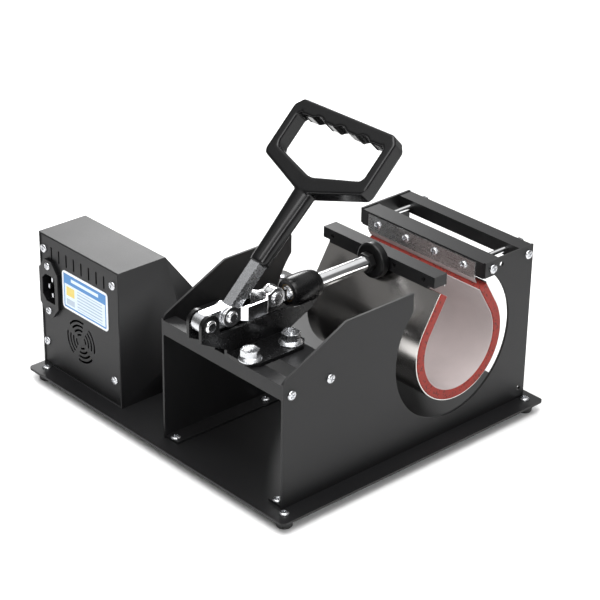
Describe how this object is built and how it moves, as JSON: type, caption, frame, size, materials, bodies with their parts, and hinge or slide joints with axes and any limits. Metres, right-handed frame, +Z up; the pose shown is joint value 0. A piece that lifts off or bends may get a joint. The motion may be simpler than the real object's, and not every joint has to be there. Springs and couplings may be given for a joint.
{
  "type": "mug heat press",
  "caption": "Bench press for mugs: a toggle clamp closes a curved heating mat round the mug, beside a sloping control box.",
  "frame": {"origin": "on the table under the middle of the whole press, ears of the clamp included", "axes": "+X towards the control box, -Y to the front where the mug goes in, +Z up"},
  "size_m": [0.316, 0.294, 0.267],
  "materials": {
    "powder_black": "satin",
    "clamp_black": "gloss",
    "rubber": "matte",
    "zinc": "bright zinc plate",
    "chrome": "polished",
    "stainless": "satin",
    "mirror_steel": "bright rolled",
    "silicone": "matte, speckled",
    "lining": "woven glass cloth",
    "black_plastic": "gloss",
    "grip_black": "gloss",
    "black_steel": "black oxide",
    "bronze": "sintered",
    "circuit_board": "satin",
    "window": "clear",
    "grey_key": "satin",
    "red_key": "gloss",
    "label": "printed film",
    "transformer_steel": "varnished"
  },
  "bodies": {
    "press": {"base_plate": "powder_black", "rubber_feet": "rubber", "base_screws": "zinc", "side_plate_left": "powder_black", "side_plate_right": "powder_black", "side_screws": "zinc", "rear_cross_bar": "powder_black", "front_cross_bar": "powder_black", "front_tie_bar": "powder_black", "fixed_bar": "powder_black", "tie_rods": "chrome", "rod_nuts": "zinc", "mat_clamp_strip": "stainless", "strip_screws": "zinc", "mat_steel_band": "mirror_steel", "mat_silicone_pad": "silicone", "mat_liner": "lining", "heater_terminal": "black_plastic", "clamp_bracket_left": "clamp_black", "clamp_bracket_right": "clamp_black", "guide_barrel": "clamp_black", "guide_bush": "bronze", "base_rivet": "chrome", "clamp_bolts": "zinc", "clamp_nuts": "zinc", "clamp_washers": "zinc", "control_case": "powder_black", "rear_panel": "powder_black", "rear_panel_screws": "zinc", "front_panel": "powder_black", "display_module": "circuit_board", "display_window": "window", "switch_bezel": "black_plastic", "power_inlet": "black_plastic", "inlet_pins": "zinc", "inlet_screws": "zinc", "rating_plate": "label", "heater_socket": "chrome", "controller_board": "circuit_board", "transformer": "transformer_steel"},
    "handle": {"handle_lever": "zinc", "handle_grip": "grip_black", "grip_pin": "zinc"},
    "links": {"link_left": "chrome", "link_right": "chrome", "lever_rivet": "chrome", "plunger_rivets": "chrome"},
    "plunger": {"moving_bar": "powder_black", "bar_screws": "black_steel", "bar_strip": "stainless", "bar_strip_screws": "zinc", "bar_boss": "black_steel", "lock_nut": "black_steel", "plunger_rod": "chrome"},
    "pressure_disc": {"pressure_disc": "black_plastic"},
    "set_key": {"set_key": "grey_key"},
    "up_key": {"up_key": "grey_key"},
    "down_key": {"down_key": "grey_key"},
    "start_key": {"start_key": "red_key"},
    "rocker": {"rocker_switch": "red_key"}
  },
  "joints": [
    {"name": "handle_pivot", "type": "hinge", "parent": "press", "child": "handle", "pos_m": [-0.073, 0.1385, 0.143], "axis": [-1, 0, 0], "range_deg": [0, 110]},
    {"name": "link_pivot", "type": "hinge", "parent": "handle", "child": "links", "pos_m": [-0.073, 0.1169, 0.143], "axis": [-1, 0, 0], "range_deg": [-136.69, 0.01]},
    {"name": "plunger_slide", "type": "slide", "parent": "press", "child": "plunger", "axis": [0, 1, 0], "range_m": [-0.00001, 0.03381]},
    {"name": "disc_turn", "type": "hinge", "parent": "plunger", "child": "pressure_disc", "pos_m": [-0.073, -0.032, 0.1403], "axis": [0, 1, 0], "continuous": true},
    {"name": "set_key_press", "type": "slide", "parent": "press", "child": "set_key", "axis": [0, 0.7867, -0.6173], "range_m": [0, 0.0012], "stiffness_N_per_m": 250},
    {"name": "up_key_press", "type": "slide", "parent": "press", "child": "up_key", "axis": [0, 0.7867, -0.6173], "range_m": [0, 0.0012], "stiffness_N_per_m": 250},
    {"name": "down_key_press", "type": "slide", "parent": "press", "child": "down_key", "axis": [0, 0.7867, -0.6173], "range_m": [0, 0.0012], "stiffness_N_per_m": 250},
    {"name": "start_key_press", "type": "slide", "parent": "press", "child": "start_key", "axis": [0, 0.7867, -0.6173], "range_m": [0, 0.0012], "stiffness_N_per_m": 250},
    {"name": "rocker_tilt", "type": "hinge", "parent": "press", "child": "rocker", "pos_m": [0.104, 0.0059, 0.024], "axis": [0, 0, 1], "range_deg": [0, 22]}
  ],
  "couplings": [
    {"joint": "link_pivot", "follows": "handle_pivot", "ratio": -1.2426},
    {"joint": "plunger_slide", "follows": "handle_pivot", "m_per_rad": 0.017606}
  ]
}
